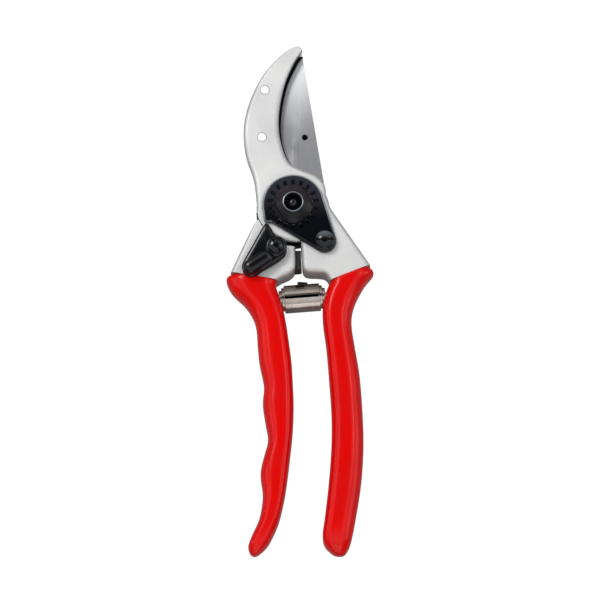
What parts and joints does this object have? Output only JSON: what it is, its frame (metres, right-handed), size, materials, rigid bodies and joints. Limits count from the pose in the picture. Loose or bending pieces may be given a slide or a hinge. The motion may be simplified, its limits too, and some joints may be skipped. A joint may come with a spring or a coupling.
{
  "type": "bypass pruning shears",
  "caption": "Hand-held bypass pruning shears with dipped handles, a volute return spring, a toothed pivot nut and a thumb catch, closed and locked.",
  "frame": {"origin": "on the pivot's axis, in the plane the shears rest on: the outer face of the pivot bolt's head", "axes": "+Y from the pivot towards the hook's tip, +Z along the pivot from the bolt's head to the nut, +X towards the handle that carries the hook"},
  "size_m": [0.06, 0.2135, 0.0227],
  "materials": {
    "forged_aluminium": "satin blasted and tumbled",
    "hardened_steel": "ground lengthwise",
    "bright_rivet": "dressed flush",
    "black_steel": "blackened and oiled",
    "spring_steel": "bright nickel",
    "red_grip": "glossy dipped coating",
    "bronze": "sintered, oily",
    "black_rubber": "matte",
    "black_plastic": "satin gloss"
  },
  "bodies": {
    "hook_half": {"hook_casting": "forged_aluminium", "counter_blade": "hardened_steel", "counter_blade_rivets": "bright_rivet", "pivot_bolt": "black_steel", "bolt_washer": "spring_steel", "toothed_nut": "black_steel", "locking_plate": "black_steel", "locking_screw": "black_steel", "hook_grip": "red_grip", "hook_spring_peg": "spring_steel", "volute_spring": "spring_steel"},
    "blade_half": {"blade_casting": "forged_aluminium", "cutting_blade": "hardened_steel", "blade_dowel": "black_steel", "pivot_bush": "bronze", "blade_grip": "red_grip", "blade_spring_peg": "spring_steel", "rubber_buffer": "black_rubber", "catch_screw": "black_steel", "catch_washer": "spring_steel"},
    "catch": {"thumb_catch": "black_plastic"}
  },
  "joints": [
    {"name": "main_pivot", "type": "hinge", "parent": "hook_half", "child": "blade_half", "pos_m": [0, 0, 0.0085], "axis": [0, 0, -1], "range_deg": [0, 32], "deforming": ["volute_spring"]},
    {"name": "catch_swing", "type": "hinge", "parent": "blade_half", "child": "catch", "pos_m": [-0.007, -0.0183, 0.018], "axis": [0, 0, 1], "range_deg": [0, 25]}
  ]
}
